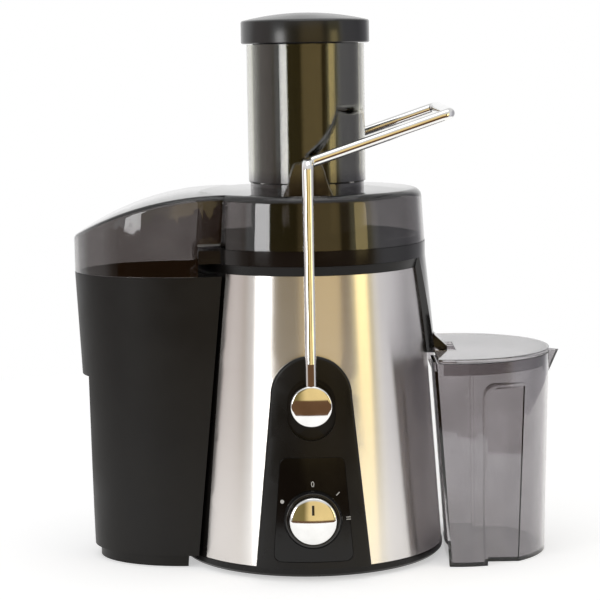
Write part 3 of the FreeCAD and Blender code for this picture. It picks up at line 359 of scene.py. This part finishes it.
def in_place_of(node, shape):
    """A bmesh as the finished piece that stands in for a CAD node."""
    made = new_piece(
        node + "_finished", shape, finish_of_node[node], body_of_node[node]
    )
    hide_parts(node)
    return made


def shade(shape, crease_degrees):
    """Smooth shading that breaks at the edges sharper than the crease angle."""
    crease = math.radians(crease_degrees)
    for face in shape.faces:
        face.smooth = True
    for edge in shape.edges:
        edge.smooth = edge.calc_face_angle(0.0) < crease


def softened(node, round_mm):
    """A copy of a CAD node with its curved faces smooth and its edges rounded, in its place."""
    weld = 0.004 * mm
    flat_degrees = 0.3
    crease_degrees = 26
    sharp_degrees = 35
    shape = bmesh.new()
    shape.from_mesh(nodes[node].data)
    bmesh.ops.remove_doubles(shape, verts=shape.verts, dist=weld)
    bmesh.ops.dissolve_limit(
        shape, angle_limit=math.radians(flat_degrees), verts=shape.verts, edges=shape.edges
    )
    shade(shape, crease_degrees)
    made = in_place_of(node, shape)
    if round_mm:
        rounding = made.modifiers.new("edge rounding", "BEVEL")
        rounding.width = round_mm * mm
        rounding.segments = 2
        rounding.limit_method = "ANGLE"
        rounding.angle_limit = math.radians(sharp_degrees)
        rounding.harden_normals = True
    return made


def lens_faced(node, centre, out, radius_mm, bulge_mm, behind_mm):
    """A button with a face like a shallow lens, turned round its axis. The profile goes from the
    middle of the face to the rolled rim, then through the points behind it."""
    rings = 12
    turn_steps = 96
    roll_mm = 0.9
    roll_middle_in_mm = 0.35
    roll_middle_down_mm = 0.25
    weld = 0.001 * mm
    crease_degrees = 40
    profile = [(0.0, 0.0)]
    for i in range(1, rings + 1):
        across = (radius_mm - roll_mm) * i / rings
        profile.append((across, bulge_mm * (across / radius_mm) ** 2))
    profile += [
        (radius_mm - roll_middle_in_mm, bulge_mm + roll_middle_down_mm),
        (radius_mm, bulge_mm + roll_mm),
        *behind_mm,
    ]
    shape = bmesh.new()
    verts = [shape.verts.new((across * mm, 0, -depth * mm)) for across, depth in profile]
    edges = [shape.edges.new(pair) for pair in zip(verts, verts[1:])]
    bmesh.ops.spin(
        shape, geom=verts + edges, cent=(0, 0, 0), axis=(0, 0, 1), angle=2 * math.pi,
        steps=turn_steps, use_merge=True,
    )
    bmesh.ops.remove_doubles(shape, verts=shape.verts, dist=weld)
    bmesh.ops.recalc_face_normals(shape, faces=shape.faces)
    shade(shape, crease_degrees)
    place = Matrix.Translation(centre) @ out.to_track_quat("Z", "Y").to_matrix().to_4x4()
    bmesh.ops.transform(shape, matrix=place, verts=shape.verts)
    return in_place_of(node, shape)


for node, finish in finish_of_node.items():
    nodes[node].data.materials.clear()
    nodes[node].data.materials.append(finish)
for node, round_mm in edge_round_mm.items():
    softened(node, round_mm)

# The latch springs shorten as the carriages go down. Here they get smoothed copies with meshes of their own.
for node in ("front_latch_spring", "rear_latch_spring"):
    low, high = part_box(node)
    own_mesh(softened(node, 0.0))

# The lid's two bell-shaped lugs have a rounded rim. It is drawn paler than the lid, as a painted highlight, so
# that it shows as a bright line round the bell.
lug_face = 65.27 * mm
lug_corner = 2.2 * mm
lug_rim_thick = 1.1 * mm
no_crease_degrees = 180
lug_half_outline_mm = [(17.5, 252.6), (13.5, 261.6), (11.0, 271.0), (8.5, 277.0)]
lug_other_half_mm = [(-across, up) for across, up in reversed(lug_half_outline_mm)]
for name, side in (("front_lug_rim", -1), ("rear_lug_rim", 1)):
    rim = bmesh.new()
    rim.faces.new([
        rim.verts.new((across * mm, side * lug_face, up * mm))
        for across, up in lug_half_outline_mm + lug_other_half_mm
    ])
    bmesh.ops.bevel(
        rim, geom=rim.verts[:], offset=lug_corner, segments=4, profile=0.5, affect="VERTICES",
        material=-1,
    )
    bmesh.ops.wireframe(
        rim, faces=rim.faces[:], thickness=lug_rim_thick, offset=0.0, use_replace=True,
        use_boundary=True, use_even_offset=True,
    )
    bmesh.ops.recalc_face_normals(rim, faces=rim.faces)
    shade(rim, no_crease_degrees)
    new_piece(name, rim, highlight_rim, body_of_node["lid"])

# The pusher's cap is a low dome over a straight rim, with a plug below that goes into the tube.
cap_radius_mm = 44.3
cap_dome_mm = 5.4
cap_edge_mm = 0.8
plug_radius_mm = 34.3
plug_length_mm = 8.05
low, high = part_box("pusher_cap")
plug_end_mm = (high.z - low.z) / mm
cap_end_mm = plug_end_mm - plug_length_mm
lens_faced(
    "pusher_cap", Vector((0, 0, high.z)), Vector((0, 0, 1)), cap_radius_mm, cap_dome_mm,
    [
        (cap_radius_mm, cap_end_mm - cap_edge_mm),
        (cap_radius_mm - cap_edge_mm, cap_end_mm),
        (plug_radius_mm, cap_end_mm),
        (plug_radius_mm, plug_end_mm),
        (0.0, plug_end_mm),
    ],
)

# The arm's pivot buttons have convex plated faces, each on a pin that goes into the body.
button_radius_mm = 13.8
button_bulge_mm = 1.1
button_depth_mm = 10.0
pin_radius_mm = 4.0
pivot_height = joint_of_name["arm_swing"]["pos_m"][2]
for node, side in (("front_pivot_disc", -1), ("rear_pivot_disc", 1)):
    low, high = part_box(node)
    button_face = Vector((0, low.y if side < 0 else high.y, pivot_height))
    pin_end_mm = (high.y - low.y) / mm
    lens_faced(
        node, button_face, Vector((0, side, 0)), button_radius_mm, button_bulge_mm,
        [
            (button_radius_mm, button_depth_mm),
            (pin_radius_mm, button_depth_mm),
            (pin_radius_mm, pin_end_mm),
            (0.0, pin_end_mm),
        ],
    )

# The knob's cap has a plated face too, more convex.
knob_radius_mm = 15.7
knob_bulge_mm = 2.2
knob_joint = joint_of_name["knob_turn"]
dial_centre = Vector(knob_joint["pos_m"])
dial_out = -Vector(knob_joint["axis"]).normalized()
cap_levels = [(v.co - dial_centre).dot(dial_out) for v in nodes["knob_cap"].data.vertices]
knob_depth_mm = (max(cap_levels) - min(cap_levels)) / mm
knob_face = dial_centre + dial_out * max(cap_levels)
lens_faced(
    "knob_cap", knob_face, dial_out, knob_radius_mm, knob_bulge_mm,
    [(knob_radius_mm, knob_depth_mm), (0.0, knob_depth_mm)],
)

# A gloss black bar in the knob's face stands for the pointer notch, its black a painted shade for the notch's
# inside. It points at the marks and leans with the face.
pointer_size_mm = (1.8, 6.6, 0.5)
pointer_edge = 0.15 * mm
pointer_out_mm = 7.6
pointer_down_mm = 0.65
pointer = bmesh.new()
bmesh.ops.create_cube(pointer, size=mm)
bmesh.ops.scale(pointer, vec=pointer_size_mm, verts=pointer.verts)
bmesh.ops.bevel(
    pointer, geom=pointer.edges[:], offset=pointer_edge, segments=2, affect="EDGES", profile=0.5,
    material=-1,
)
face_turn = dial_out.to_track_quat("Z", "Y").to_matrix().to_4x4()
face_slope = 2 * knob_bulge_mm * pointer_out_mm / knob_radius_mm ** 2
pointer_lean = Matrix.Rotation(-math.atan(face_slope), 4, "X")
pointer_shift = Matrix.Translation((0, pointer_out_mm * mm, -pointer_down_mm * mm))
pointer_place = Matrix.Translation(knob_face) @ face_turn @ pointer_shift @ pointer_lean
bmesh.ops.transform(pointer, matrix=pointer_place, verts=pointer.verts)
new_piece("pointer_slot_painted_shade", pointer, gloss_black, "knob")

# The dial's printed marks lie on the plate, which follows the body's cone.
steel_base_radius = 91.5 * mm
panel_proud = 3.5 * mm
dial_sunk = 0.1 * mm
dial_base_radius = steel_base_radius + panel_proud - dial_sunk
cone_base_height = 8.0 * mm
cone_taper = 13.0 / 195.0
mark_radius = 23.6 * mm
mark_length = 3.0 * mm
mark_width = 0.6 * mm
ink_height = 0.12 * mm
# Printed ink is a flat off-white with a slightly uneven coat.
ink = moulded("printed_white_ink", "#B9B7B2", "#CFCDC8", rough=0.5, grit_mm=0.5, depth=0.1)


def print_mark(name, shape, clock_degrees):
    """A flat mark, carried round the knob to a clock angle and laid on the conical plate."""
    raised = bmesh.ops.extrude_face_region(shape, geom=shape.faces[:])["geom"]
    raised_verts = [v for v in raised if isinstance(v, bmesh.types.BMVert)]
    bmesh.ops.translate(shape, vec=(0, 0, ink_height), verts=raised_verts)
    bmesh.ops.recalc_face_normals(shape, faces=shape.faces)
    turned = Matrix.Rotation(-math.radians(clock_degrees), 4, "Z")
    place = turned @ Matrix.Translation((0, mark_radius, 0))
    bmesh.ops.transform(shape, matrix=place, verts=shape.verts)
    for vert in shape.verts:
        right, up, proud = vert.co
        height = dial_centre.z + up
        plate = dial_base_radius - (height - cone_base_height) * cone_taper
        vert.co = (right, -math.sqrt(plate ** 2 - right ** 2) - proud, height)
    return new_piece(name, shape, ink, "base")


def add_stroke(shape, right):
    """An upright stroke of a mark, a distance to the right of its middle."""
    stroke = bmesh.ops.create_grid(shape, x_segments=1, y_segments=1, size=0.5)["verts"]
    bmesh.ops.scale(shape, vec=(mark_width, mark_length, 1.0), verts=stroke)
    bmesh.ops.translate(shape, vec=(right, 0, 0), verts=stroke)


# The nought is an oval ring: the inset leaves a many-sided face in its middle, which is removed.
zero_half_mm = (1.08, 1.875)
zero_line = 0.5 * mm
zero = bmesh.new()
bmesh.ops.create_circle(zero, cap_ends=True, segments=40, radius=mm)
bmesh.ops.scale(zero, vec=(*zero_half_mm, 1.0), verts=zero.verts)
bmesh.ops.inset_region(zero, faces=zero.faces[:], thickness=zero_line, use_boundary=True)
bmesh.ops.delete(zero, geom=[f for f in zero.faces if len(f.verts) > 4], context="FACES_ONLY")
print_mark("mark_off", zero, clock_degrees=0)

dot_radius = 1.3 * mm
dot = bmesh.new()
bmesh.ops.create_circle(dot, cap_ends=True, segments=32, radius=dot_radius)
print_mark("mark_pulse", dot, clock_degrees=-60)

one = bmesh.new()
add_stroke(one, 0.0)
print_mark("mark_speed_one", one, clock_degrees=45)

stroke_apart = 1.5 * mm
two = bmesh.new()
for side in (-0.5, 0.5):
    add_stroke(two, side * stroke_apart)
print_mark("mark_speed_two", two, clock_degrees=90)

# The floor is a white disc that reaches further behind the object than in front.
floor_radius = 0.66
floor_behind = 0.21
floor_below = 0.3 * mm
sweep = bmesh.new()
bmesh.ops.create_circle(sweep, cap_ends=True, segments=96, radius=floor_radius)
bmesh.ops.translate(sweep, vec=(0, floor_behind, -floor_below), verts=sweep.verts)
floor_mesh = bpy.data.meshes.new("floor")
sweep.to_mesh(floor_mesh)
sweep.free()
floor = bpy.data.objects.new("floor", floor_mesh)
bpy.context.scene.collection.objects.link(floor)

# White paper, lifted to white where it is seen straight, in metal or through plastic, so that it
# runs into the background and still takes the object's shadow.
paper_lift = 0.48
floor_paper, tree = blank("white_studio_paper")
path = add(tree, "ShaderNodeLightPath")
seen = add(
    tree, "ShaderNodeMath",
    links={0: path.outputs["Is Camera Ray"], 1: path.outputs["Is Glossy Ray"]},
    operation="MAXIMUM",
)
seen_at_all = add(
    tree, "ShaderNodeMath",
    links={0: seen.outputs[0], 1: path.outputs["Is Transmission Ray"]}, operation="MAXIMUM",
)
paper = add(tree, "ShaderNodeBsdfDiffuse", {"Color": linear("#E4E4E4")})
glow = add(tree, "ShaderNodeEmission", {"Color": linear("#FFFFFF")})
lift = add(
    tree, "ShaderNodeMath", {1: paper_lift}, {0: seen_at_all.outputs[0]}, operation="MULTIPLY"
)
tree.links.new(lift.outputs[0], glow.inputs["Strength"])
both = add(tree, "ShaderNodeAddShader", links={0: paper.outputs[0], 1: glow.outputs[0]})
add(tree, "ShaderNodeOutputMaterial", links={"Surface": both.outputs[0]})
floor.data.materials.append(floor_paper)

# The world is white to the eye and a lit room to what mirrors it. The walls of the room change
# colour with the direction, in degrees to the right of straight towards the viewer.
wall_colours = [
    (-180, "#FFFFFF"), (-120, "#FFFFFF"), (-104, "#D0CAC8"), (-92, "#D9D1CE"),
    (-72, "#D3CAC6"), (-66, "#C3B8AD"), (-62, "#EDEDEC"), (-40, "#E8E8E7"),
    (-37, "#8A7C50"), (-12, "#857547"), (-5, "#F6D896"), (30, "#FBDD98"),
    (33, "#8A774D"), (40, "#8A774D"), (44, "#EBDFAE"), (64, "#E9DDAE"),
    (67, "#FCF8EA"), (71, "#FFFEFB"), (74, "#E2E1E5"), (92, "#D2D1D6"),
    (112, "#A9A8AD"), (140, "#B5B4B8"), (156, "#FFFFFF"), (180, "#FFFFFF"),
]
world = bpy.data.worlds.new("studio")
bpy.context.scene.world = world
world.use_nodes = True
tree = world.node_tree
tree.nodes.clear()
way = add(tree, "ShaderNodeTexCoord")
part = add(tree, "ShaderNodeSeparateXYZ", links={0: way.outputs["Generated"]})
toward = add(tree, "ShaderNodeMath", {1: -1.0}, {0: part.outputs["Y"]}, operation="MULTIPLY")
compass = add(
    tree, "ShaderNodeMath", links={0: part.outputs["X"], 1: toward.outputs[0]},
    operation="ARCTAN2",
)
turn = add(
    tree, "ShaderNodeMapRange",
    {"From Min": -math.pi, "From Max": math.pi, "To Min": 0.0, "To Max": 1.0},
    {"Value": compass.outputs[0]},
)
walls = add(tree, "ShaderNodeValToRGB", links={"Fac": turn.outputs["Result"]})
set_stops(walls.color_ramp, [(0.5 + angle / 360, colour) for angle, colour in wall_colours])

# Brown boards lie in front and below, and a pale ceiling overhead. Each fades in between two
# values of the direction's Y or Z.
boards_below = (-0.055, -0.075)
boards_ahead = (-0.2, -0.5)
ceiling_above = (0.35, 0.6)
below = add(
    tree, "ShaderNodeMapRange",
    {"From Min": boards_below[1], "From Max": boards_below[0], "To Min": 1.0, "To Max": 0.0},
    {"Value": part.outputs["Z"]},
)
ahead = add(
    tree, "ShaderNodeMapRange",
    {"From Min": boards_ahead[1], "From Max": boards_ahead[0], "To Min": 1.0, "To Max": 0.0},
    {"Value": part.outputs["Y"]},
)
boards = add(
    tree, "ShaderNodeMath", links={0: below.outputs["Result"], 1: ahead.outputs["Result"]},
    operation="MULTIPLY",
)
boarded = add(
    tree, "ShaderNodeMix", {mix_second: linear("#6B4E36")},
    {mix_share: boards.outputs[0], mix_first: walls.outputs["Color"]}, data_type="RGBA",
)
overhead = add(
    tree, "ShaderNodeMapRange",
    {"From Min": ceiling_above[0], "From Max": ceiling_above[1], "To Min": 0.0, "To Max": 1.0},
    {"Value": part.outputs["Z"]},
)
room = add(
    tree, "ShaderNodeMix", {mix_second: linear("#E6E6E6")},
    {mix_share: overhead.outputs["Result"], mix_first: boarded.outputs[mix_result]},
    data_type="RGBA",
)

# The room shows after any mirroring, also where the ray then leaves through a clear wall.
path = add(tree, "ShaderNodeLightPath")
seen = add(
    tree, "ShaderNodeMath",
    links={0: path.outputs["Is Camera Ray"], 1: path.outputs["Is Transmission Ray"]},
    operation="MAXIMUM",
)
plain = add(
    tree, "ShaderNodeMix", {mix_first: linear("#C9C9C9"), mix_second: linear("#FFFFFF")},
    {mix_share: seen.outputs[0]}, data_type="RGBA",
)
mirrored = add(
    tree, "ShaderNodeMath", {1: 0.5}, {0: path.outputs["Glossy Depth"]}, operation="GREATER_THAN"
)
shown = add(
    tree, "ShaderNodeMix",
    links={
        mix_share: mirrored.outputs[0],
        mix_first: plain.outputs[mix_result],
        mix_second: room.outputs[mix_result],
    },
    data_type="RGBA",
)
light = add(
    tree, "ShaderNodeBackground", {"Strength": 1.0}, {"Color": shown.outputs[mix_result]}
)
add(tree, "ShaderNodeOutputWorld", links={"Surface": light.outputs[0]})


def softbox(name, place, aim, width, height, power, colour):
    """A large soft lamp, aimed at a point."""
    lamp = bpy.data.lights.new(name, "AREA")
    lamp.shape = "RECTANGLE"
    lamp.size = width
    lamp.size_y = height
    lamp.energy = power
    lamp.color = linear(colour)[:3]
    made = bpy.data.objects.new(name, lamp)
    made.location = place
    made.rotation_euler = (Vector(aim) - Vector(place)).to_track_quat("-Z", "Y").to_euler()
    bpy.context.scene.collection.objects.link(made)
    return made


# A large lamp overhead, and the two windows that the steel shows as a white and a warm band.
steel_middle = (0, 0, 0.1)
lid_middle = (0, 0, 0.25)
softbox(
    "overhead_softbox", (0.1, -0.2, 1.6), steel_middle,
    width=1.4, height=1.0, power=4.0, colour="#FFFFFF",
)
softbox(
    "white_window", (-1.06, -1.06, 0.42), lid_middle,
    width=0.40, height=0.62, power=4.8, colour="#FFFFFF",
)
softbox(
    "warm_window", (1.18, -0.92, 0.40), lid_middle,
    width=0.34, height=0.62, power=1.6, colour="#F7DD95",
)

# The camera stands 1.47 m in front of the body's axis, 358 mm above the table, and looks a
# little down.
camera_place = (-0.0064, -1.47, 0.358)
camera_down_degrees = 7.0
camera_roll_degrees = -0.94
lens = bpy.data.cameras.new("camera")
lens.sensor_width = 36.0
lens.lens = 126.9
camera = bpy.data.objects.new("camera", lens)
camera.location = camera_place
tilt = Matrix.Rotation(math.radians(90 - camera_down_degrees), 4, "X")
roll = Matrix.Rotation(math.radians(camera_roll_degrees), 4, "Z")
camera.rotation_euler = (tilt @ roll).to_euler()
bpy.context.scene.collection.objects.link(camera)
bpy.context.scene.camera = camera
bpy.context.scene.view_settings.view_transform = "Standard"
